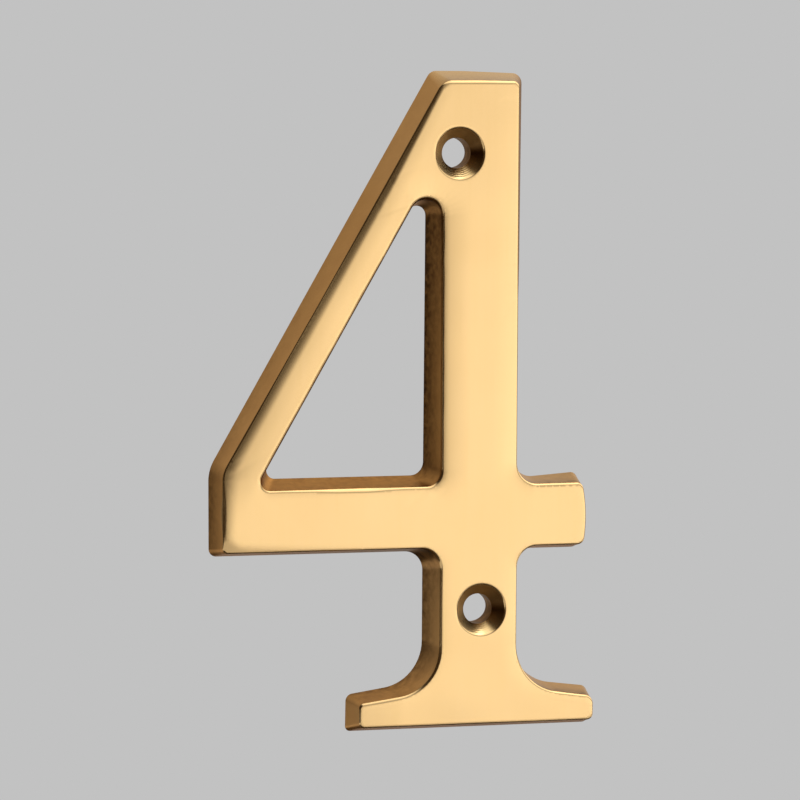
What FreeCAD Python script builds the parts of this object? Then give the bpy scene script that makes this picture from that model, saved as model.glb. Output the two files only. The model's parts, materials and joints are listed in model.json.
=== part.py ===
# Door number, figure 4: one brass casting for fixing flat on a door with two countersunk screws.
# X runs to the right, Z runs up and the polished face looks along -Y. The flat back lies on Y = 0.
# The origin is on the back, where the centre lines of the stem and the crossbar cross.

import FreeCAD, Part
import math
import os

# Overall sizes in millimetres. The height is taken over the back edge, the largest outline.
overall_height = 76.2
thickness = 4.0
crossbar_level = 25.05  # underside of the foot to the crossbar's centre line, over the back edge

# Strokes, measured on the face between its unrounded edges
stem_width = 9.3
crossbar_width = 7.1
diagonal_width = 4.1
left_reach = 30.75  # stem's centre line to the left end
left_end_height = 9.0  # upright end where the diagonal meets the crossbar
right_reach = 13.35  # stem's centre line to the crossbar's right end, before that end is bowed
right_end_bow = 0.45  # how far the end's corners stand back from its middle
right_end_radius = 16.0
foot_width = 28.6
foot_end_height = 2.85
foot_slope = 8.2  # degrees that the foot's top climbs towards the stem

# Draft of the cast walls in degrees, so that the pattern leaves the sand
outer_draft = 10.0
counter_draft = 13.0

# Corner radii in plan, each at the depth where that corner is tightest
outer_corner_radius = 0.5
left_shoulder_radius = 1.9
crossbar_fillet_radius = 2.1
foot_fillet_radius = 5.3
counter_top_radius = 1.1
counter_toe_radius = 0.8
counter_heel_radius = 1.4

# Rounding that polishing leaves on the face's edges
edge_round = 0.4

# Screw holes, placed from the back edge and from the stem's centre line
screw_hole_diameter = 3.5
countersink_diameter = 6.0
countersink_angle = 82.0
upper_hole_drop = 9.4  # below the top edge
upper_hole_inset = 2.65  # left of the centre line, in the wide head
lower_hole_rise = 14.1  # above the foot's lower edge
lower_hole_offset = 0.35  # right of the centre line

# Heights and widths that follow from the sizes above
outer_spread = thickness * math.tan(math.radians(outer_draft))
counter_spread = thickness * math.tan(math.radians(counter_draft))
top = overall_height - crossbar_level - outer_spread
underside = outer_spread - crossbar_level
stem_side = stem_width / 2
crossbar_side = crossbar_width / 2
shoulder = left_end_height - crossbar_side
foot_side = foot_width / 2
foot_end = underside + foot_end_height
foot_root = foot_end + (foot_side - stem_side) * math.tan(math.radians(foot_slope))
along_y = FreeCAD.Vector(0, 1, 0)
same_plane = 1e-4  # how closely an edge lies in the face's plane


def in_plan(point):
    """A corner's place as a vector in the plane of the face."""
    return FreeCAD.Vector(point[0], 0, point[1])


def section(corners, spread, level):
    """Closed outline at one level of Y, from clockwise corners of x, z and radius.

    Each side is moved outwards by spread. Outer corners gain that much radius and inner ones lose it.
    """
    arcs = []
    for index, corner in enumerate(corners):
        place = in_plan(corner)
        coming = (place - in_plan(corners[index - 1])).normalize()
        going = (in_plan(corners[(index + 1) % len(corners)]) - place).normalize()
        outward = coming.cross(along_y) + going.cross(along_y)
        place = place + outward * (spread / (1 + coming.dot(going)))
        place.y = level
        turns_inwards = along_y.dot(coming.cross(going)) < 0
        radius = corner[2] - spread if turns_inwards else corner[2] + spread
        half_turn = coming.getAngle(going) / 2
        setback = radius * math.tan(half_turn)
        bulge = radius * (1 / math.cos(half_turn) - 1)
        middle = place + (going - coming).normalize() * bulge
        arcs.append(Part.Arc(place - coming * setback, middle, place + going * setback))
    edges = []
    for index, arc in enumerate(arcs):
        following = arcs[(index + 1) % len(arcs)]
        edges.append(arc.toShape())
        edges.append(Part.LineSegment(arc.EndPoint, following.StartPoint).toShape())
    return Part.Wire(edges)


def drafted_block(corners, spread):
    """Solid between the outline on the face and the same outline spread at the back."""
    on_face = section(corners, 0, -thickness)
    on_back = section(corners, spread, 0)
    return Part.makeLoft([on_face, on_back], True, True)


def outline_corners():
    """The figure's outer corners on the face, clockwise from the head of the diagonal."""
    crossbar_fillet = crossbar_fillet_radius + outer_spread
    foot_fillet = foot_fillet_radius + outer_spread
    return [
        (-stem_side, top, outer_corner_radius),
        (stem_side, top, outer_corner_radius),
        (stem_side, crossbar_side, crossbar_fillet),
        (right_reach - right_end_bow, crossbar_side, outer_corner_radius),
        (right_reach, 0, right_end_radius),
        (right_reach - right_end_bow, -crossbar_side, outer_corner_radius),
        (stem_side, -crossbar_side, crossbar_fillet),
        (stem_side, foot_root, foot_fillet),
        (foot_side, foot_end, outer_corner_radius),
        (foot_side, underside, outer_corner_radius),
        (-foot_side, underside, outer_corner_radius),
        (-foot_side, foot_end, outer_corner_radius),
        (-stem_side, foot_root, foot_fillet),
        (-stem_side, -crossbar_side, crossbar_fillet),
        (-left_reach, -crossbar_side, outer_corner_radius),
        (-left_reach, shoulder, left_shoulder_radius),
    ]


def counter_corners():
    """The counter's corners on the face, clockwise from its top, with one side along the diagonal."""
    run = left_reach - stem_side
    rise = top - shoulder
    length = math.hypot(run, rise)
    drop_at_stem = diagonal_width * length / run
    slope = rise / run
    counter_top = top - drop_at_stem
    counter_toe = -stem_side - (counter_top - crossbar_side) / slope
    return [
        (-stem_side, counter_top, counter_top_radius + counter_spread),
        (-stem_side, crossbar_side, counter_heel_radius + counter_spread),
        (counter_toe, crossbar_side, counter_toe_radius + counter_spread),
    ]


def countersunk_hole(x, z):
    """Tool for one screw hole: a bore through the back and a cone that opens at the face."""
    bore_radius = screw_hole_diameter / 2
    rim_radius = countersink_diameter / 2
    cone_depth = (rim_radius - bore_radius) / math.tan(math.radians(countersink_angle / 2))
    bore = Part.makeCylinder(bore_radius, thickness, FreeCAD.Vector(x, -thickness, z), along_y)
    cone = Part.makeCone(rim_radius, bore_radius, cone_depth, FreeCAD.Vector(x, -thickness, z), along_y)
    return bore.fuse(cone)


def face_edges(shape):
    """Edges that lie in the plane of the face."""
    return [edge for edge in shape.Edges if abs(edge.BoundBox.YMax + thickness) < same_plane]


def numeral_four():
    """The whole casting: drafted figure and counter, rounded face edges, then the two holes."""
    blank = drafted_block(outline_corners(), outer_spread)
    counter = drafted_block(counter_corners(), -counter_spread)
    casting = blank.cut(counter)
    polished = casting.makeFillet(edge_round, face_edges(casting))
    upper_hole = countersunk_hole(-upper_hole_inset, overall_height - crossbar_level - upper_hole_drop)
    lower_hole = countersunk_hole(lower_hole_offset, lower_hole_rise - crossbar_level)
    return polished.cut(upper_hole).cut(lower_hole)


os.makedirs("parts", exist_ok=True)
figure = numeral_four()
figure.exportStep("parts/numeral_four.step")
print("numeral_four", len(figure.Solids), "solid", round(figure.Volume, 1), "cubic mm", figure.BoundBox)
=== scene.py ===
import json
import math

import bmesh
import bpy
import numpy as np
from mathutils import Matrix, Vector
from mathutils.geometry import delaunay_2d_cdt


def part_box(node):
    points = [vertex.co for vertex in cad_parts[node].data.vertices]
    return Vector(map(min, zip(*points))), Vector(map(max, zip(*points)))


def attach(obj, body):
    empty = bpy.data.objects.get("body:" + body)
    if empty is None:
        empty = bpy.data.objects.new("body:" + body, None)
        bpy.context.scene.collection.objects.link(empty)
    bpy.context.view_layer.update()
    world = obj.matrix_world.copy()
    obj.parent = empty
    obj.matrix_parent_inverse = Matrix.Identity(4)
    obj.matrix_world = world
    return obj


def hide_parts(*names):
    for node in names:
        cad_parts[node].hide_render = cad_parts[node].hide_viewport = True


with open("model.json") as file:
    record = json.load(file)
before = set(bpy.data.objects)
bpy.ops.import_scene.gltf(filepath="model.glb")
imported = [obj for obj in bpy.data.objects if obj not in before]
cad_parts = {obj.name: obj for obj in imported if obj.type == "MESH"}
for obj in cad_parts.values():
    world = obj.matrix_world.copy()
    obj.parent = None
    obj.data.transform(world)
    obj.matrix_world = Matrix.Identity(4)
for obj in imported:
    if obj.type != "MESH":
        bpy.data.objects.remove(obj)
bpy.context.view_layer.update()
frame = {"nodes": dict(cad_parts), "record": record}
mm = 0.001  # sizes below are in millimetres, the scene is in metres
print("frame loaded:", list(frame["nodes"]))


def linear(hexCode):
    # sRGB hex to linear light: the sRGB curve undone channel by channel
    srgb = [int(hexCode[i:i + 2], 16) / 255 for i in (1, 3, 5)]
    return [c / 12.92 if c <= 0.04045 else ((c + 0.055) / 1.055) ** 2.4 for c in srgb] + [1.0]


def addNode(tree, kind, settings=None, inputs=None):
    # one node with its own settings, its socket values and its links
    node = tree.nodes.new(kind)
    for name, value in (settings or {}).items():
        setattr(node, name, value)
    for socket, value in (inputs or {}).items():
        if isinstance(value, bpy.types.NodeSocket):
            tree.links.new(value, node.inputs[socket])
        else:
            node.inputs[socket].default_value = value
    return node


low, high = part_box("numeral_four")
thickness = (high.y - low.y) / mm
# one corner: x, z and radius on the face, then x, z and radius at the back, all before the edges are rounded
outerCorners = np.array([
    (-4.68, 50.0, 2.0, -4.95, 51.14, 1.2),
    (0.0, 50.03, 150.0, -1.0, 51.14, 60.0),
    (4.52, 49.97, 0.75, 6.25, 50.88, 1.2),
    (4.57, 27.0, 5000.0, 6.12, 27.0, 200.0),
    (4.64, 3.45, 2.5, 5.4, 3.88, 2.3),
    (12.8, 3.48, 0.9, 13.45, 4.47, 0.8),
    (13.38, -0.1, 18.0, 14.0, -0.1, 18.0),
    (13.0, -3.65, 0.9, 13.6, -4.35, 0.8),
    (4.71, -3.65, 2.5, 5.5, -4.35, 2.4),
    (4.71, -20.12, 5.8, 5.5, -19.58, 5.3),
    (14.3, -21.51, 1.1, 15.0, -20.77, 0.9),
    (14.3, -24.2, 0.7, 15.0, -25.03, 0.6),
    (-14.3, -24.2, 0.65, -14.85, -25.03, 0.6),
    (-14.3, -21.52, 0.55, -14.79, -20.8, 0.9),
    (-4.58, -20.11, 5.6, -5.52, -19.47, 5.4),
    (-4.58, -3.65, 2.4, -5.52, -4.35, 2.2),
    (-30.71, -3.65, 0.6, -31.36, -4.35, 0.9),
    (-30.71, 5.46, 3.6, -31.44, 5.57, 4.8),
    (-11.88, 37.48, 300.0, -12.39, 38.39, 1500.0),
])
counterCorners = np.array([
    (-4.59, 42.15, 2.06, -5.44, 38.63, 1.1),
    (-4.48, 3.39, 1.9, -5.52, 4.46, 1.6),
    (-27.19, 3.3, 1.1, -25.25, 4.42, 1.0),
])
# one side of the outline, clockwise after its corner
plainSide = {
    "wear": [],  # strips worn by the wheel: reach, slope in degrees and power of the fall, at start and end
    "round": (0.2, 0.2),  # rounding of the edge, on the face and on the wall
    "tension": 0.766,  # how far that rounding is pulled to its sharp corner
    "mark": (0, 1, 0, 0),  # where it grows: first and last share of the side, more on face and on wall
    "polish": 0.95,  # share of the rounding where its polish ends
    "buffed": 0.0,  # how far the wall was buffed
    "tarnishAndShade": (0, 0, 0, 0),  # darkening, partly tarnish and partly painted shade: by the face at start and end, by the back at start and end
    "hollow": 0.03,  # how far the wall is hollowed
}
headSide = {**plainSide, "round": (0.24, 0.18), "tension": 0.12, "buffed": 0.8, "tarnishAndShade": (0.5, 0.4, 0, 0)}
rightEnd = {**plainSide, "wear": [(0.8, 0.8, 2, 2, 2, 2)], "buffed": 0.5}
underside = {**plainSide, "round": (0.13, 0.2)}
outerSides = [
    {**headSide, "name": "head, left half"},
    {**headSide, "name": "head, right half"},
    {**plainSide, "name": "stem right, upper half", "wear": [(3.0, 3.0, 0.5, 3, 2, 2)], "round": (0.14, 0.3),
     "tarnishAndShade": (0.7, 0.7, 0.6, 0.5)},
    {**plainSide, "name": "stem right, lower half", "wear": [(3.0, 3.0, 3, 5, 2, 2)], "buffed": 0.3,
     "tarnishAndShade": (0.6, 0.1, 0.4, 0)},
    {**plainSide, "name": "bar right top", "wear": [(0.7, 0.7, 3, 3, 2, 2)], "round": (0.18, 0.14),
     "tension": 0.12, "buffed": 0.45, "tarnishAndShade": (0.65, 0.65, 0.1, 0.3)},
    {**rightEnd, "name": "bar right end, upper half"},
    {**rightEnd, "name": "bar right end, lower half"},
    {**underside, "name": "bar right underside"},
    {**plainSide, "name": "lower stem right", "wear": [(2.0, 2.0, 3, 3, 2, 2)], "buffed": 0.3},
    {**plainSide, "name": "foot right top", "wear": [(0.7, 0.7, 2.5, 2.5, 2, 2)], "round": (0.18, 0.14),
     "tension": 0.12, "buffed": 0.4, "tarnishAndShade": (0.7, 0.8, 0.15, 0.2)},
    {**rightEnd, "name": "foot right end"},
    {**underside, "name": "foot underside"},
    {**plainSide, "name": "foot left end", "round": (0.16, 0.2), "buffed": 0.22},
    {**plainSide, "name": "foot left top", "wear": [(0.5, 0.5, 8, 8, 2, 2)], "round": (0.24, 0.16),
     "tension": 0.5, "mark": (0.0, 0.7, 0.06, 0), "buffed": 0.05, "tarnishAndShade": (0.3, 0.3, 0.65, 0.65)},
    {**plainSide, "name": "lower stem left", "wear": [(1.8, 1.8, 2.6, 2.6, 2, 2)], "round": (0.24, 0.3),
     "buffed": 0.3, "tarnishAndShade": (-0.4, 0.5, 0.55, 0.75), "hollow": 0.06},
    # darker where the bar's underside meets the lower stem: partly tarnish, partly painted shade
    {**underside, "name": "bar left underside", "wear": [(0.3, 1.5, 0, 5.2, 2, 2)],
     "tarnishAndShade": (1.0, -0.4, 1.0, 0)},
    {**plainSide, "name": "left end", "wear": [(1.25, 2.1, 11.8, 9.6, 2.5, 2.3)], "round": (0.1, 0.2),
     "mark": (0.1, 0.88, 0.09, 0.5), "buffed": 0.14, "tarnishAndShade": (0, 0, 0.6, 0.6), "hollow": 0.06},
    {**plainSide, "name": "diagonal, lower part",
     "wear": [(1.34, 0.8, 8.7, 9.6, 1.9, 1.12), (3.0, 2.6, 3, 4.2, 2, 2)], "round": (0.12, 0.13),
     "mark": (-0.1, 1.2, -0.06, -0.06), "buffed": 0.17, "tarnishAndShade": (0, 0, 0.3, 0)},
    {**plainSide, "name": "diagonal, upper part",
     "wear": [(0.8, 0.32, 9.6, 14.2, 1.06, 1.0), (2.6, 1.6, 4.2, 2.0, 2, 2)], "round": (0.12, 0.13),
     "buffed": 0.21},
]
counterSides = [
    # in the counter the darkening is strongest toward its apex: partly tarnish, partly painted shade
    {**plainSide, "name": "stem left", "wear": [(0.8, 0.8, 5, 5, 2, 2), (3.4, 3.4, 5.5, 5.5, 2, 2)],
     "round": (0.2, 0.24), "polish": 0.6, "buffed": 0.07, "tarnishAndShade": (1.0, -0.5, 1.0, 0.8), "hollow": 0.05},
    {**plainSide, "name": "bar top", "wear": [(0.9, 1.2, 3, 3.5, 2, 2)], "round": (0.16, 0.13),
     "tension": 0.26, "mark": (0.12, 0.78, 0.24, 0.16), "tarnishAndShade": (0.6, 0.3, 0.5, 0.4)},
    {**plainSide, "name": "diagonal inside", "wear": [(0.5, 0.5, 2, 2, 2, 2)], "round": (0.34, 0.3),
     "polish": 0.55, "tarnishAndShade": (1.0, 0.8, 0.4, 0.0)},
]
# where the face was buffed low: the tip of the foot, and the shoulder from the counter's toe outwards,
# which fades over a run up the diagonal, over a width beside it and over a depth below the toe
footLean = {"from": -14.3, "reach": 5.2, "slope": 2.1, "power": 1.35, "below": -12.0}
shoulderLean = {"from": (-27.2, 3.3), "rise": 60.0, "slope": 2.6, "soft": 0.5, "run": 21.0, "width": 6.0,
                "depth": 12.0}
walk = {"step": 0.3, "arcPoints": 15}  # distance between points on straight sides, and points on each arc


def leftOf(v):
    # a quarter turn to the left: (x, z) becomes (-z, x)
    return np.stack([-v[..., 1], v[..., 0]], -1)


def unit(v):
    # each vector divided by its length
    return v / np.linalg.norm(v, axis=-1, keepdims=True)


def walkOutline(corners, radii, counts):
    # clockwise walk: each corner is an arc that turns from the coming to the going direction,
    # start + r (sin a * coming + (1 - cos a) * left), and straight runs join the arcs;
    # the side number runs from k - 1 to k on the arc before side k
    coming = unit(corners - np.roll(corners, 1, 0))
    comingNormal = leftOf(coming)
    goingNormal = np.roll(comingNormal, -1, 0)
    going = np.roll(coming, -1, 0)
    turn = np.arctan2(np.sum(comingNormal * going, 1), np.sum(coming * going, 1))
    start = corners - coming * (radii * np.tan(np.abs(turn) / 2))[:, None]
    share = np.linspace(0, 1, walk["arcPoints"])
    angle = turn[:, None, None] * share[None, :, None]
    bend = np.sign(turn)[:, None, None]
    arcs = np.sin(np.abs(angle)) * coming[:, None] + (1 - np.cos(angle)) * bend * comingNormal[:, None]
    arcs = start[:, None] + radii[:, None, None] * arcs
    arcNormals = np.cos(angle) * comingNormal[:, None] - np.sin(angle) * coming[:, None]
    points = []
    normals = []
    sides = []
    for k, count in enumerate(counts):
        t = np.linspace(0, 1, count + 2)[1:-1, None]
        points += [arcs[k], arcs[k, -1] * (1 - t) + arcs[(k + 1) % len(counts), 0] * t]
        normals += [arcNormals[k], np.repeat(goingNormal[k:k + 1], count, 0)]
        sides += [k - 1 + share, np.full(count, float(k))]
    return np.concatenate(points), np.concatenate(normals), np.concatenate(sides)


def sideLengths(corners):
    # distance from each corner to the next one, on the face
    return np.linalg.norm(np.roll(corners[:, :2], -1, 0) - corners[:, :2], axis=1)


def pointCounts(corners):
    # points on each straight side: its length over the step
    return np.ceil(sideLengths(corners) / walk["step"]).astype(int)


def blended(values, sides):
    # value of a side, or a mix of two on the arc between them
    values = np.asarray(values, float)
    before = np.floor(sides).astype(int)
    mix = sides - before
    return values[before % len(values)] * (1 - mix) + values[(before + 1) % len(values)] * mix


buffing = {"waves": 14, "shortest": 7.0, "longest": 20.0, "slope": 0.22, "seed": 21}


def handWaves(points):
    # slow hollows left by hand buffing: plane waves with seeded headings and phases
    source = np.random.default_rng(buffing["seed"])
    length = np.geomspace(buffing["shortest"], buffing["longest"], buffing["waves"])
    heading = source.uniform(0, 2 * np.pi, buffing["waves"])
    phase = source.uniform(0, 2 * np.pi, buffing["waves"])
    size = math.radians(buffing["slope"]) * length / (2 * np.pi) * math.sqrt(2 / buffing["waves"])
    across = points @ np.stack([np.cos(heading), np.sin(heading)])
    return np.sin(across * 2 * np.pi / length + phase) @ size + size.sum()


def sideWeight(number, k, count):
    # 1 on side k, fading evenly to 0 along the arcs at its ends
    return np.clip(1 - np.abs((number - k + count / 2) % count - count / 2), 0, 1)


def alongSide(points, corners, k):
    # share of side k's length at each point, by its foot on the line between the side's corners
    first = corners[k, :2]
    along = corners[(k + 1) % len(corners), :2] - first
    return (points - first) @ along / (along @ along)


wheel = {
    "corner": 2.4,  # the wheel rounds its strips at least this far at the outer corners
    "room": 0.45,  # but by no more than this share of the shorter side beside it
    "nearby": 0.2,  # points this close to a side are measured square to it
    "batch": 4000,  # points worked out at once, which limits the memory
}


def wornStrips():
    # outline of every side with its two arcs, how much of each point belongs to it, and its worn strips
    strips = []
    for corners, sides, into in ((outerCorners, outerSides, -1), (counterCorners, counterSides, 1)):
        lengths = sideLengths(corners)
        room = wheel["room"] * np.minimum(lengths, np.roll(lengths, 1))
        radii = np.maximum(corners[:, 2], np.minimum(room, wheel["corner"] if into < 0 else 0))
        ring, normal, number = walkOutline(corners[:, :2], radii, pointCounts(corners))
        normal = normal * into
        for k, side in enumerate(sides):
            weight = sideWeight(number, k, len(sides))
            mine = weight > 0
            share = np.clip(alongSide(ring[mine], corners, k), 0, 1)
            strips.append((ring[mine], normal[mine], weight[mine], share, side["wear"]))
    return strips


def faceDrop(points):
    # depth of the worn face below its flat: slope * reach / power * (1 - d / reach)^power for every strip, with
    # d the distance from its side, and reach, slope and power changing evenly along the side
    drop = handWaves(points)
    batches = np.array_split(points, 1 + len(points) // wheel["batch"])
    for ring, normal, belongs, share, wear in wornStrips():
        nearest = [np.argmin(np.sum((batch[:, None] - ring[None]) ** 2, 2), 1) for batch in batches]
        nearest = np.concatenate(nearest)
        offset = points - ring[nearest]
        across = np.sum(offset * normal[nearest], 1)
        direct = np.linalg.norm(offset, axis=1)
        beside = direct ** 2 < (2 * across) ** 2 + wheel["nearby"] ** 2
        distance = np.where(beside & (across > -wheel["corner"] / 2), across, direct)
        for strip in wear:
            startReach, endReach, startSlope, endSlope, startPower, endPower = strip
            reach = startReach + (endReach - startReach) * share[nearest]
            slope = np.tan(np.radians(startSlope + (endSlope - startSlope) * share[nearest]))
            power = startPower + (endPower - startPower) * share[nearest]
            drop += belongs[nearest] * slope * reach / power * np.clip(1 - distance / reach, 0, 2) ** power
    return drop + footDrop(points) + shoulderDrop(points)


def footDrop(points):
    # slope * reach / power * (1 - d / reach)^power, with d from the tip of the foot
    fall = np.clip(1 - (points[:, 0] - footLean["from"]) / footLean["reach"], 0, 1) ** footLean["power"]
    fall = fall * math.tan(math.radians(footLean["slope"])) * footLean["reach"] / footLean["power"]
    return fall * (points[:, 1] < footLean["below"])


def shoulderDrop(points):
    # an even slope outwards from a line along the diagonal, softened at its start and faded on three sides
    rise = math.radians(shoulderLean["rise"])
    offset = points - np.array(shoulderLean["from"])
    out = offset @ np.array([-math.sin(rise), math.cos(rise)])
    up = offset @ np.array([math.cos(rise), math.sin(rise)])
    fall = (out + np.hypot(out, shoulderLean["soft"])) / 2 * math.tan(math.radians(shoulderLean["slope"]))
    beside = np.clip(0.5 + (up - offset[:, 0]) / shoulderLean["width"], 0, 1)
    above = np.clip(1 - up / shoulderLean["run"], 0, 1)
    below = np.clip(1 + up / shoulderLean["depth"], 0, 1)
    return fall * beside * above * below


# the rounded edge between face and wall, worn unevenly by hand
edge = {"unevenness": 0.16, "waves": (3, 26), "outerSeed": 4, "counterSeed": 7, "rollRows": 9, "wallRows": 12,
        "polishFade": 0.3, "sharpFrom": 35.0}


def hump(t, first, last):
    # smooth hump: sin squared between first and last, nothing outside
    return np.sin(np.pi * np.clip((t - first) / (last - first), 0, 1)) ** 2


def unevenWear(length, seed):
    # slow wander along a closed edge: a few whole waves with seeded sizes and phases
    source = np.random.default_rng(seed)
    waves = np.arange(*edge["waves"])
    size = source.normal(size=len(waves)) / np.sqrt(waves)
    phase = source.uniform(0, 2 * np.pi, len(waves))
    wander = np.sin(np.outer(length * 2 * np.pi, waves) + phase) @ size
    return wander / np.abs(wander).max()


def sideMarks(front, number, corners, sides):
    # what changes along the sides: more rounding on face and wall, as a hump over the mark's shares, and
    # darkening, partly tarnish and partly painted shade, by the face and by the back, as an even change from a
    # side's start to its end
    faceMore, wallMore, frontTarnishAndShade, backTarnishAndShade = np.zeros((4, len(front)))
    for k, side in enumerate(sides):
        mine = sideWeight(number, k, len(sides))
        share = alongSide(front, corners, k)
        first, last, moreOnFace, moreOnWall = side["mark"]
        faceMore += moreOnFace * mine * hump(share, first, last)
        wallMore += moreOnWall * mine * hump(share, first, last)
        share = np.clip(share, 0, 1)
        faceStart, faceEnd, backStart, backEnd = side["tarnishAndShade"]
        frontTarnishAndShade += mine * np.clip(faceStart * (1 - share) + faceEnd * share, 0, 1)
        backTarnishAndShade += mine * (backStart * (1 - share) + backEnd * share)
    return faceMore, wallMore, frontTarnishAndShade, backTarnishAndShade


def carriedWall(corners, sides, outward, seed):
    # one ring of wall: a section is carried along the outline, round the worn edge as a conic
    # (A, C, B with weight w) and on as a hollowed line to the back outline
    counts = pointCounts(corners)
    front, normal, number = walkOutline(corners[:, :2], corners[:, 2], counts)
    back = walkOutline(corners[:, 3:5], corners[:, 5], counts)[0]
    normal = normal * outward
    gaps = np.linalg.norm(np.roll(front, -1, 0) - front, axis=1)
    length = np.concatenate([[0], np.cumsum(gaps)[:-1]]) / gaps.sum()
    wear = 1 + edge["unevenness"] * unevenWear(length, seed)
    faceMore, wallMore, frontTarnishAndShade, backTarnishAndShade = sideMarks(front, number, corners, sides)
    onFace = blended([s["round"][0] for s in sides], number) * wear + faceMore
    onWall = blended([s["round"][1] for s in sides], number) * wear + wallMore
    flat = front - normal * onFace[:, None]
    lean = back - front
    wall = np.column_stack([lean[:, 0], np.full(len(front), thickness), lean[:, 1]])
    pointA = np.column_stack([flat[:, 0], -thickness + faceDrop(flat), flat[:, 1]])
    sharp = np.column_stack([front[:, 0], np.full(len(front), -thickness), front[:, 1]])
    pointC = sharp + wall * (faceDrop(front) / thickness)[:, None]
    pointB = pointC + unit(wall) * onWall[:, None]
    u = np.linspace(0, 1, edge["rollRows"])[:, None, None]
    pull = 2 * blended([s["tension"] for s in sides], number)[None, :, None] * u * (1 - u)
    roll = ((1 - u) ** 2 * pointA + pull * pointC + u ** 2 * pointB) / ((1 - u) ** 2 + pull + u ** 2)
    pointD = np.column_stack([back[:, 0], np.zeros(len(back)), back[:, 1]])
    v = np.linspace(0, 1, edge["wallRows"] + 1)[1:, None, None]
    hollow = blended([s["hollow"] for s in sides], number)
    bow = np.column_stack([normal[:, 0], np.zeros(len(front)), normal[:, 1]]) * hollow[:, None]
    plain = pointB * (1 - v) + pointD * v - 4 * v * (1 - v) * bow
    wallBuffed = blended([s["buffed"] for s in sides], number)
    polishEnd = blended([s["polish"] for s in sides], number)
    polishLeft = np.clip((polishEnd[None] - u[:, :, 0]) / edge["polishFade"], 0, 1)
    v = v[:, :, 0]
    buffed = np.concatenate([wallBuffed + (1 - wallBuffed) * polishLeft, wallBuffed + 0 * v])
    # darker colour on the rounding past its polish and on the wall toward the back: partly tarnish, partly
    # painted shade
    tarnishAndShade = np.concatenate([frontTarnishAndShade * (1 - polishLeft), frontTarnishAndShade * (1 - v) ** 2 + backTarnishAndShade * v])
    return np.concatenate([roll, plain]), buffed, tarnishAndShade


# the two screw holes, at the record's mounts
holes = {
    "rim": 3.0,
    "coneAngle": 86.0,
    "crown": 0.012,  # how far the middle of the cone's side stands out
    "flare": 0.2,  # how far the bore opens sideways at the back, where the drill broke through
    "wipedAndLit": (-97.0, 3),  # heading in degrees and narrowness of the smoother sector, whose lighter colour is a painted highlight
    "rimRound": 0.14,
    "points": 160,
    "rimRows": 6,
    "coneRows": 44,
    "boreRows": 6,
    # the bore is darkened in full: partly tarnish, partly painted shade
    "boreTarnishAndShade": 1.0,
    "paintedShade": (2.0, 8, 1.0),  # painted shade on one side of the cone: heading in degrees, narrowness and strength
    "ripplePitch": 0.29,  # tool marks of the countersink, spaced along the cone
    "rippleFade": 0.2,  # they end this far before the bore
    "rippleDepth": {"upper_screw_hole": 0.0035, "lower_screw_hole": 0.0012},
}


def turnedHole(mount):
    # surface of revolution: a rim rounded as a conic, a cone with fine turned ripples, then the straight bore
    centre = np.array(mount["pos_m"]) / mm
    bore = mount["dims"]["r_mm"]
    slope = math.radians(holes["coneAngle"] / 2)
    coneDepth = (holes["rim"] - bore) / math.tan(slope)
    slant = np.hypot(holes["rim"] - bore, coneDepth)
    down = np.array([-math.sin(slope), math.cos(slope)])
    corner = np.array([holes["rim"], 0.0])
    rimA = corner + np.array([holes["rimRound"], 0])
    rimB = corner + down * holes["rimRound"]
    u = np.linspace(0, 1, holes["rimRows"])[:, None]
    rim = (1 - u) ** 2 * rimA + 2 * u * (1 - u) * corner + u ** 2 * rimB
    run = np.linspace(holes["rimRound"], slant, holes["coneRows"])[1:]
    ripple = holes["rippleDepth"][mount["name"]] * np.sin(2 * np.pi * run / holes["ripplePitch"])
    ripple = ripple * np.clip((slant - run) / holes["rippleFade"], 0, 1)
    across = np.array([-math.cos(slope), -math.sin(slope)])
    ripple = ripple + holes["crown"] * np.sin(np.pi * run / slant)
    cone = corner + down * run[:, None] + across * ripple[:, None]
    straight = np.linspace(coneDepth, thickness, holes["boreRows"])[1:]
    depth = (straight - coneDepth) / (thickness - coneDepth)
    tube = np.column_stack([np.full(len(straight), bore), straight])
    flare = np.concatenate([np.zeros(len(rim) + len(cone)), holes["flare"] * depth ** 2])
    section = np.concatenate([rim, cone, tube])
    angle = np.linspace(0, 2 * np.pi, holes["points"], endpoint=False)
    x = centre[0] + np.outer(section[:, 0] + flare, np.cos(angle))
    z = centre[2] + np.outer(section[:, 0], np.sin(angle))
    y = np.repeat(section[:, 1:] - thickness, len(angle), 1)
    settle = faceDrop(np.column_stack([x.ravel(), z.ravel()])).reshape(x.shape)
    y = y + settle * np.clip(1 - (y + thickness) / coneDepth, 0, 1)
    return np.stack([x, y, z], -1)


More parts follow.
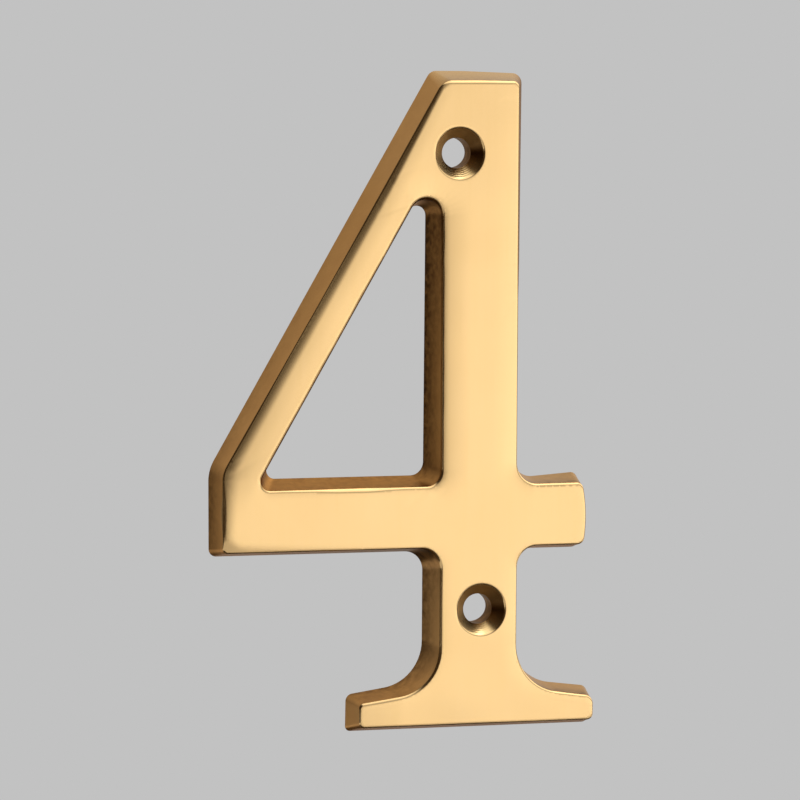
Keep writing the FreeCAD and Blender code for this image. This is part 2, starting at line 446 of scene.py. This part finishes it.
def holeFinishes(rows):
    # by row and heading of a hole: a smoother sector painted lighter as a highlight, painted shade on one side
    # of the cone and in the bore, which is partly tarnish, and which quads are turned;
    # both marks fall off with the angle from their heading as (0.5 + 0.5 cos)^narrowness
    angle = np.linspace(0, 2 * np.pi, holes["points"], endpoint=False)
    coneEnd = holes["rimRows"] + holes["coneRows"] - 2
    heading, narrowness = holes["wipedAndLit"]
    # a smoother sector whose lighter colour is a painted highlight
    wipedAndLit = (0.5 + 0.5 * np.cos(angle - math.radians(heading))) ** narrowness
    buffed = np.repeat(wipedAndLit[None], rows, 0)
    buffed[:holes["rimRows"]] = 1
    buffed[coneEnd:] = 0
    # painted shade on one side of the cone
    heading, narrowness, strength = holes["paintedShade"]
    paintedShade = strength * (0.5 + 0.5 * np.cos(angle - math.radians(heading))) ** narrowness
    tarnishAndShade = np.repeat(paintedShade[None], rows, 0)
    tarnishAndShade[:holes["rimRows"]] = 0
    tarnishAndShade[coneEnd:] = holes["boreTarnishAndShade"]
    row = np.repeat(np.arange(rows - 1), holes["points"])
    turned = (row >= holes["rimRows"] - 1) & (row < coneEnd)
    return buffed, tarnishAndShade, turned


def gridFaces(rows, columns, first):
    # quads of a grid whose rows close on themselves
    row, column = np.meshgrid(np.arange(rows - 1), np.arange(columns), indexing="ij")
    right = (column + 1) % columns
    quads = np.stack([row * columns + column, row * columns + right,
                      (row + 1) * columns + right, (row + 1) * columns + column], -1)
    return quads.reshape(-1, 4) + first


def insideLoops(points, loops):
    # even-odd rule: a point is inside when a ray to the right crosses the loops an odd number of times
    crossed = np.zeros(len(points), int)
    for loop in loops:
        x0, z0 = loop.T
        x1, z1 = np.roll(loop, -1, 0).T
        px = points[:, :1]
        pz = points[:, 1:]
        spans = (z0 > pz) != (z1 > pz)
        rise = np.where(z1 == z0, 1, z1 - z0)  # level edges are never spanned, so any rise will do
        crossed += np.sum(spans & (px < x0 + (pz - z0) * (x1 - x0) / rise), 1)
    return crossed % 2 == 1


net = {"spacing": 0.21, "clearance": 0.12, "batches": 24, "merge": 1e-7, "insideOnly": 1}


def fillFlat(loops, inner):
    # triangles between closed loops, with extra points inside: a constrained Delaunay net
    points = np.concatenate(loops + [inner])
    edges = []
    first = 0
    for loop in loops:
        index = np.arange(len(loop))
        edges.append(np.column_stack([index, (index + 1) % len(loop)]) + first)
        first += len(loop)
    edges = np.concatenate(edges).tolist()
    places = [Vector(p) for p in points.tolist()]
    result = delaunay_2d_cdt(places, edges, [], net["insideOnly"], net["merge"])
    origin = np.array([o[0] for o in result[3]])
    triangles = origin[np.array(result[2])]
    keep = np.any(triangles >= first, 1)
    keep[~keep] = insideLoops(points[triangles[~keep]].mean(1), loops)
    return triangles[keep]


def faceNet(loops):
    # staggered rows of points that fill the face, kept clear of its loops
    spacing = net["spacing"]
    every = np.concatenate(loops)
    lowest = every.min(0)
    highest = every.max(0)
    x = np.arange(lowest[0], highest[0], spacing)
    z = np.arange(lowest[1], highest[1], spacing * math.sqrt(0.75))
    gridX, gridZ = np.meshgrid(x, z)
    gridX = gridX + spacing / 2 * (np.arange(len(z)) % 2)[:, None]
    points = np.column_stack([gridX.ravel(), gridZ.ravel()])
    points = points[insideLoops(points, loops)]
    near = np.full(len(points), np.inf)
    for batch in np.array_split(every, net["batches"]):
        gap = np.linalg.norm(points[:, None] - batch[None], axis=2).min(1)
        near = np.minimum(near, gap)
    return points[near > net["clearance"]]


def buildFigure():
    # walls, holes, face and back share their rings, so the mesh is one closed skin
    outer, outerBuffed, outerTarnishAndShade = carriedWall(outerCorners, outerSides, 1, edge["outerSeed"])
    counter, counterBuffed, counterTarnishAndShade = carriedWall(counterCorners, counterSides, -1,
                                                         edge["counterSeed"])
    mounts = [m for m in frame["record"]["mounts"] if m["kind"] == "bore"]
    grids = [outer, counter] + [turnedHole(m) for m in mounts]
    firsts = np.cumsum([0] + [g.shape[0] * g.shape[1] for g in grids])
    frontLoops = [g[0][:, [0, 2]] for g in grids]
    backLoops = [g[-1][:, [0, 2]] for g in grids]
    inner = faceNet(frontLoops)
    face = np.column_stack([inner[:, 0], faceDrop(inner) - thickness, inner[:, 1]])
    points = np.concatenate([g.reshape(-1, 3) for g in grids] + [face])
    holeBuffedAndLit, holeTarnishAndShade, holeTurned = holeFinishes(grids[2].shape[0])
    buffed = [outerBuffed, counterBuffed, holeBuffedAndLit, holeBuffedAndLit, np.ones(len(inner))]
    tarnishAndShade = [outerTarnishAndShade, counterTarnishAndShade, holeTarnishAndShade, holeTarnishAndShade, np.zeros(len(inner))]
    quads = [gridFaces(g.shape[0], g.shape[1], first) for g, first in zip(grids, firsts)]
    frontIndex = np.concatenate([np.arange(g.shape[1]) + first for g, first in zip(grids, firsts)]
                                + [np.arange(len(inner)) + firsts[-1]])
    backIndex = np.concatenate([np.arange(g.shape[1]) + first + (g.shape[0] - 1) * g.shape[1]
                                for g, first in zip(grids, firsts)])
    faceTriangles = frontIndex[fillFlat(frontLoops, inner)]
    backTriangles = backIndex[fillFlat(backLoops, np.zeros((0, 2)))]
    # finish of every polygon: 0 cast and buffed, 1 turned, 2 linished
    finish = np.concatenate([np.zeros(len(quads[0]) + len(quads[1])), holeTurned, holeTurned,
                             np.zeros(len(faceTriangles)), np.full(len(backTriangles), 2)])
    mesh = bpy.data.meshes.new("doorNumber")
    polygons = np.concatenate(quads).tolist() + faceTriangles.tolist() + backTriangles.tolist()
    mesh.from_pydata((points * mm).tolist(), [], polygons)
    slant = np.zeros_like(points)  # down the sides of the holes, across their tool marks
    slant[firsts[2]:firsts[-1]] = np.concatenate([np.gradient(g, axis=0).reshape(-1, 3) for g in grids[2:]])
    slantData = mesh.attributes.new("slant", "FLOAT_VECTOR", "POINT").data
    slantData.foreach_set("vector", slant.ravel().astype(np.float32))
    for name, values in (("buffed", buffed), ("tarnishAndShade", tarnishAndShade)):
        values = np.concatenate([v.ravel() for v in values]).astype(np.float32)
        mesh.attributes.new(name, "FLOAT", "POINT").data.foreach_set("value", values)
    mesh.polygons.foreach_set("material_index", finish.astype(np.int32))
    mesh.polygons.foreach_set("use_smooth", np.ones(len(polygons), bool))
    mesh.update()
    return mesh


def pointOutwards(mesh):
    # normals turned outwards over the whole skin, then edges bent by more than an angle marked sharp
    skin = bmesh.new()
    skin.from_mesh(mesh)
    bmesh.ops.recalc_face_normals(skin, faces=skin.faces)
    openEdges = sum(not e.is_manifold for e in skin.edges)
    volume = skin.calc_volume(signed=True) / mm ** 3
    skin.to_mesh(mesh)
    skin.free()
    mesh.set_sharp_from_angle(angle=math.radians(edge["sharpFrom"]))
    print("door number:", len(mesh.polygons), "polygons,", openEdges, "open edges,", volume, "cubic mm")


def newFinish(name):
    # an empty metal: its material, node tree, shader and place on the figure
    material = bpy.data.materials.new(name)
    material.use_nodes = True
    tree = material.node_tree
    shader = tree.nodes["Principled BSDF"]
    shader.inputs["Metallic"].default_value = 1.0
    return material, tree, shader, addNode(tree, "ShaderNodeTexCoord")


# cast brass: mirror-soft gold where it was buffed, brown and finely grained on walls left from the mould,
# with a dark colour, partly tarnish and partly painted shade, along edges and walls, in the counter and in the
# bores
def castBrass():
    look = {"gold": "#F2CC90", "clouded": "#EFC788", "goldEdge": "#FFF0D8", "goldRoughness": 0.17,
            "cloudSize": 9.0, "streak": "#E9C078", "streakWidth": 0.5, "streakRun": 16.0,
            "streakFrom": (0.45, 0.75), "streakDepth": 0.12, "lacquer": 0.4, "lacquerRoughness": 0.15,
            "brown": "#D69D57", "dark": "#BA8143", "brownEdge": "#E7D6C4", "brownRoughness": 0.36,
            "blotch": 2.4, "tarnishAndShade": "#5A3A1D", "patch": 0.7, "patchFrom": (0.3, 0.7),
            "patchDepth": (0.65, 1.35), "grain": 0.28, "grainHeight": 0.02, "grainStrength": 0.25}
    material, tree, shader, place = newFinish("castBrass")
    buffed = addNode(tree, "ShaderNodeAttribute", {"attribute_name": "buffed"})
    tarnishAndShade = addNode(tree, "ShaderNodeAttribute", {"attribute_name": "tarnishAndShade"})
    clouds = addNode(tree, "ShaderNodeTexNoise", {}, {
        "Vector": place.outputs["Object"], "Scale": 1 / (look["cloudSize"] * mm), "Detail": 3.0})
    gold = addNode(tree, "ShaderNodeMix", {"data_type": "RGBA"}, {
        "Factor": clouds.outputs["Fac"], "A": linear(look["gold"]), "B": linear(look["clouded"])})
    streakSize = np.array([look["streakWidth"], look["streakWidth"], look["streakRun"]]) * mm
    strokes = addNode(tree, "ShaderNodeMapping", {}, {
        "Vector": place.outputs["Object"], "Scale": 1 / streakSize})
    streaks = addNode(tree, "ShaderNodeTexNoise", {}, {
        "Vector": strokes.outputs["Vector"], "Scale": 1.0, "Detail": 2.0})
    streakShare = addNode(tree, "ShaderNodeMapRange", {}, {
        "Value": streaks.outputs["Fac"], "From Min": look["streakFrom"][0], "From Max": look["streakFrom"][1],
        "To Max": look["streakDepth"]})
    polished = addNode(tree, "ShaderNodeMix", {"data_type": "RGBA"}, {
        "Factor": streakShare.outputs["Result"], "A": gold.outputs["Result"], "B": linear(look["streak"])})
    blotches = addNode(tree, "ShaderNodeTexNoise", {}, {
        "Vector": place.outputs["Object"], "Scale": 1 / (look["blotch"] * mm), "Detail": 4.0})
    brown = addNode(tree, "ShaderNodeMix", {"data_type": "RGBA"}, {
        "Factor": blotches.outputs["Fac"], "A": linear(look["brown"]), "B": linear(look["dark"])})
    clean = addNode(tree, "ShaderNodeMix", {"data_type": "RGBA"}, {
        "Factor": buffed.outputs["Fac"], "A": brown.outputs["Result"], "B": polished.outputs["Result"]})
    patches = addNode(tree, "ShaderNodeTexNoise", {}, {
        "Vector": place.outputs["Object"], "Scale": 1 / (look["patch"] * mm), "Detail": 4.0})
    patchy = addNode(tree, "ShaderNodeMapRange", {}, {
        "Value": patches.outputs["Fac"], "From Min": look["patchFrom"][0], "From Max": look["patchFrom"][1],
        "To Min": look["patchDepth"][0], "To Max": look["patchDepth"][1]})
    # the dark mix, broken up by patches: partly tarnish, partly painted shade
    stainAndShade = addNode(tree, "ShaderNodeMath", {"operation": "MULTIPLY", "use_clamp": True}, {
        0: tarnishAndShade.outputs["Fac"], 1: patchy.outputs["Result"]})
    colour = addNode(tree, "ShaderNodeMix", {"data_type": "RGBA"}, {
        "Factor": stainAndShade.outputs["Value"], "A": clean.outputs["Result"], "B": linear(look["tarnishAndShade"])})
    rim = addNode(tree, "ShaderNodeMix", {"data_type": "RGBA"}, {
        "Factor": buffed.outputs["Fac"], "A": linear(look["brownEdge"]), "B": linear(look["goldEdge"])})
    rough = addNode(tree, "ShaderNodeMapRange", {}, {
        "Value": buffed.outputs["Fac"], "To Min": look["brownRoughness"], "To Max": look["goldRoughness"]})
    lacquer = addNode(tree, "ShaderNodeMapRange", {}, {
        "Value": buffed.outputs["Fac"], "To Max": look["lacquer"]})
    grain = addNode(tree, "ShaderNodeTexNoise", {}, {
        "Vector": place.outputs["Object"], "Scale": 1 / (look["grain"] * mm), "Detail": 3.0})
    grainDepth = addNode(tree, "ShaderNodeMapRange", {}, {
        "Value": buffed.outputs["Fac"], "To Min": look["grainStrength"], "To Max": 0.0})
    bump = addNode(tree, "ShaderNodeBump", {}, {
        "Height": grain.outputs["Fac"], "Strength": grainDepth.outputs["Result"],
        "Distance": look["grainHeight"] * mm})
    tree.links.new(colour.outputs["Result"], shader.inputs["Base Color"])
    tree.links.new(rim.outputs["Result"], shader.inputs["Specular Tint"])
    tree.links.new(rough.outputs["Result"], shader.inputs["Roughness"])
    tree.links.new(lacquer.outputs["Result"], shader.inputs["Coat Weight"])
    tree.links.new(bump.outputs["Normal"], shader.inputs["Normal"])
    shader.inputs["Coat Roughness"].default_value = look["lacquerRoughness"]
    return material


# turned brass: bright cut cone with fine rings left by the countersink, lighter in one sector as a painted
# highlight and darkened on one side as painted shade
def turnedBrass():
    look = {"cut": "#F4D295", "stained": "#C9934F", "spot": 0.9, "spotDepth": 0.4, "paintedShade": "#4A2F16",
            "cleanRoughness": 0.15, "stainedRoughness": 0.42, "across": 0.75}
    material, tree, shader, place = newFinish("turnedBrass")
    spots = addNode(tree, "ShaderNodeTexNoise", {}, {
        "Vector": place.outputs["Object"], "Scale": 1 / (look["spot"] * mm), "Detail": 3.0})
    wipedAndLit = addNode(tree, "ShaderNodeAttribute", {"attribute_name": "buffed"})
    spotted = addNode(tree, "ShaderNodeMath", {"operation": "MULTIPLY_ADD", "use_clamp": True}, {
        0: spots.outputs["Fac"], 1: look["spotDepth"], 2: wipedAndLit.outputs["Fac"]})
    # the lighter cut colour of the smoother sector is a painted highlight
    tint = addNode(tree, "ShaderNodeMix", {"data_type": "RGBA"}, {
        "Factor": spotted.outputs["Value"], "A": linear(look["stained"]), "B": linear(look["cut"])})
    rough = addNode(tree, "ShaderNodeMapRange", {}, {
        "Value": wipedAndLit.outputs["Fac"], "To Min": look["stainedRoughness"], "To Max": look["cleanRoughness"]})
    # the dark colour is painted shade on one side of the cone, blending at its foot into the darkened bore
    paintedShade = addNode(tree, "ShaderNodeAttribute", {"attribute_name": "tarnishAndShade"})
    colour = addNode(tree, "ShaderNodeMix", {"data_type": "RGBA"}, {
        "Factor": paintedShade.outputs["Fac"], "A": tint.outputs["Result"], "B": linear(look["paintedShade"])})
    slant = addNode(tree, "ShaderNodeAttribute", {"attribute_name": "slant"})
    tree.links.new(colour.outputs["Result"], shader.inputs["Base Color"])
    tree.links.new(rough.outputs["Result"], shader.inputs["Roughness"])
    tree.links.new(slant.outputs["Vector"], shader.inputs["Tangent"])
    shader.inputs["Anisotropic"].default_value = look["across"]
    return material


# linished brass: the back, ground flat on a belt, so fine straight scratches run along it
def linishedBrass():
    look = {"ground": "#CBA166", "worn": "#B88C50", "scratch": 0.35, "run": 14.0, "scratchFrom": (0.3, 0.7),
            "roughness": (0.26, 0.44), "scratchHeight": 0.03, "scratchStrength": 0.3}
    material, tree, shader, place = newFinish("linishedBrass")
    scratchSize = np.array([look["scratch"], look["scratch"], look["run"]]) * mm
    belt = addNode(tree, "ShaderNodeMapping", {}, {
        "Vector": place.outputs["Object"], "Scale": 1 / scratchSize})
    scratches = addNode(tree, "ShaderNodeTexNoise", {}, {
        "Vector": belt.outputs["Vector"], "Scale": 1.0, "Detail": 4.0})
    tint = addNode(tree, "ShaderNodeMix", {"data_type": "RGBA"}, {
        "Factor": scratches.outputs["Fac"], "A": linear(look["ground"]), "B": linear(look["worn"])})
    rough = addNode(tree, "ShaderNodeMapRange", {}, {
        "Value": scratches.outputs["Fac"],
        "From Min": look["scratchFrom"][0], "From Max": look["scratchFrom"][1],
        "To Min": look["roughness"][0], "To Max": look["roughness"][1]})
    bump = addNode(tree, "ShaderNodeBump", {}, {
        "Height": scratches.outputs["Fac"], "Strength": look["scratchStrength"],
        "Distance": look["scratchHeight"] * mm})
    tree.links.new(tint.outputs["Result"], shader.inputs["Base Color"])
    tree.links.new(rough.outputs["Result"], shader.inputs["Roughness"])
    tree.links.new(bump.outputs["Normal"], shader.inputs["Normal"])
    return material


figureMesh = buildFigure()
pointOutwards(figureMesh)
doorNumber = bpy.data.objects.new("doorNumber", figureMesh)
bpy.context.scene.collection.objects.link(doorNumber)
for finish in (castBrass(), turnedBrass(), linishedBrass()):
    figureMesh.materials.append(finish)
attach(doorNumber, "root")
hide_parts("numeral_four")
print("figure dressed")

# plain pale studio floor, with a dark mat under the figure that keeps its lower edges dark
studio = {"grey": "#C2C2C2", "floorTone": "#D8D8D8", "floorLevel": -300.0, "floorReach": 1500.0,
          "matTone": "#433B31", "matRadius": 480.0, "matThickness": 2.0, "matPoints": 96, "roughness": 0.9}


def layDown(name, corners, tone):
    # one flat polygon of plain matt colour
    mesh = bpy.data.meshes.new(name)
    mesh.from_pydata((corners * mm).tolist(), [], [tuple(range(len(corners)))])
    thing = bpy.data.objects.new(name, mesh)
    bpy.context.scene.collection.objects.link(thing)
    paint = bpy.data.materials.new(name + "Paint")
    paint.use_nodes = True
    shader = paint.node_tree.nodes["Principled BSDF"]
    shader.inputs["Base Color"].default_value = linear(tone)
    shader.inputs["Roughness"].default_value = studio["roughness"]
    mesh.materials.append(paint)


def layFloor():
    # a square of floor, and on it a round mat
    level = studio["floorLevel"]
    square = np.array([(-1, -1), (1, -1), (1, 1), (-1, 1)]) * studio["floorReach"]
    layDown("studioFloor", np.column_stack([square, np.full(len(square), level)]), studio["floorTone"])
    angle = np.linspace(0, 2 * np.pi, studio["matPoints"], endpoint=False)
    circle = np.column_stack([np.cos(angle), np.sin(angle)]) * studio["matRadius"]
    top = np.full(len(circle), level + studio["matThickness"])
    layDown("studioMat", np.column_stack([circle, top]), studio["matTone"])


def toward(azimuth, elevation):
    # direction from the figure, azimuth from straight in front round to the right
    a = math.radians(azimuth)
    e = math.radians(elevation)
    return Vector((math.sin(a) * math.cos(e), -math.cos(a) * math.cos(e), math.sin(e)))


# soft panels of light round the figure, brightness 1 is paper white: the direction they come from,
# cosines where they start and are full, and for a panel also the heights where it starts and is full
softLight = {
    "frontRight": {"from": (45, 0), "edge": (0.55, 0.93), "brightness": 1.175,
                   "heights": [(0.25, -0.07), (-0.55, -0.2)]},
    "frontUpper": {"from": (22, 31), "edge": (0.86, 1.0), "brightness": 0.6},
    "frontLow": {"from": (24, -10), "edge": (0.97, 1.0), "brightness": 0.11},
    "rightStrip": {"from": (50, 0), "edge": (0.85, 1.0), "brightness": 0.3},
    "frontTop": {"from": (20, 66), "edge": (0.84, 0.97), "brightness": 1.12},
    "rightTop": {"from": (95, 45), "edge": (0.7, 0.94), "brightness": 1.35},
    "behind": {"from": (165, 39), "edge": (0.05, 1.0), "brightness": 0.6},
}
dimRoom = "#382E22"
greyPaper = {"from": (161.06, -4.04), "edge": (0.955, 0.988)}  # plain paper straight behind the figure


def studioAir():
    # a dim room with soft lights, each a smooth step of the cosine between a direction and its own, and for a
    # panel also of the height; plain grey paper behind, by the same step
    world = bpy.data.worlds.new("studioAir")
    world.use_nodes = True
    tree = world.node_tree
    place = addNode(tree, "ShaderNodeTexCoord").outputs["Generated"]
    height = addNode(tree, "ShaderNodeSeparateXYZ", {}, {"Vector": place}).outputs["Z"]
    smooth = {"interpolation_type": "SMOOTHSTEP"}
    total = linear(dimRoom)[:3]
    for light in softLight.values():
        cosine = addNode(tree, "ShaderNodeVectorMath", {"operation": "DOT_PRODUCT"}, {
            0: place, 1: toward(*light["from"])})
        glow = addNode(tree, "ShaderNodeMapRange", smooth, {
            "Value": cosine.outputs["Value"], "From Min": light["edge"][0], "From Max": light["edge"][1],
            "To Max": light["brightness"]}).outputs["Result"]
        for start, full in light.get("heights", ()):
            share = addNode(tree, "ShaderNodeMapRange", smooth, {
                "Value": height, "From Min": start, "From Max": full})
            glow = addNode(tree, "ShaderNodeMath", {"operation": "MULTIPLY"}, {
                0: glow, 1: share.outputs["Result"]}).outputs["Value"]
        total = addNode(tree, "ShaderNodeVectorMath", {"operation": "ADD"}, {
            0: total, 1: glow}).outputs["Vector"]
    cosine = addNode(tree, "ShaderNodeVectorMath", {"operation": "DOT_PRODUCT"}, {
        0: place, 1: toward(*greyPaper["from"])})
    paper = addNode(tree, "ShaderNodeMapRange", smooth, {
        "Value": cosine.outputs["Value"], "From Min": greyPaper["edge"][0], "From Max": greyPaper["edge"][1]})
    colour = addNode(tree, "ShaderNodeMix", {"data_type": "RGBA"}, {
        "Factor": paper.outputs["Result"], "A": total, "B": linear(studio["grey"])})
    tree.links.new(colour.outputs["Result"], tree.nodes["Background"].inputs["Color"])
    bpy.context.scene.world = world


layFloor()
studioAir()
print("studio lit")

# the photograph's viewpoint: aim is the point at the middle of the picture
viewpoint = {"azimuth": -18.94, "elevation": 4.04, "roll": 0.38, "distance": 575.1, "lens": 225.9,
             "sensor": 36.0, "aim": (-9.75, -4.0, 13.51)}
photoLens = bpy.data.cameras.new("photoCamera")
photoLens.sensor_width = viewpoint["sensor"]
photoLens.lens = viewpoint["lens"]
camera = bpy.data.objects.new("photoCamera", photoLens)
bpy.context.scene.collection.objects.link(camera)
out = toward(viewpoint["azimuth"], viewpoint["elevation"])
right = Vector((0, 0, 1)).cross(out).normalized()
up = out.cross(right)
turned = math.radians(viewpoint["roll"])
rolledRight = right * math.cos(turned) + up * math.sin(turned)
rolledUp = up * math.cos(turned) - right * math.sin(turned)
stand = Vector(viewpoint["aim"]) * mm + out * viewpoint["distance"] * mm
camera.matrix_world = Matrix((rolledRight, rolledUp, out)).transposed().to_4x4()
camera.location = stand
bpy.context.scene.camera = camera
bpy.context.scene.view_settings.view_transform = "Standard"
print("camera set")
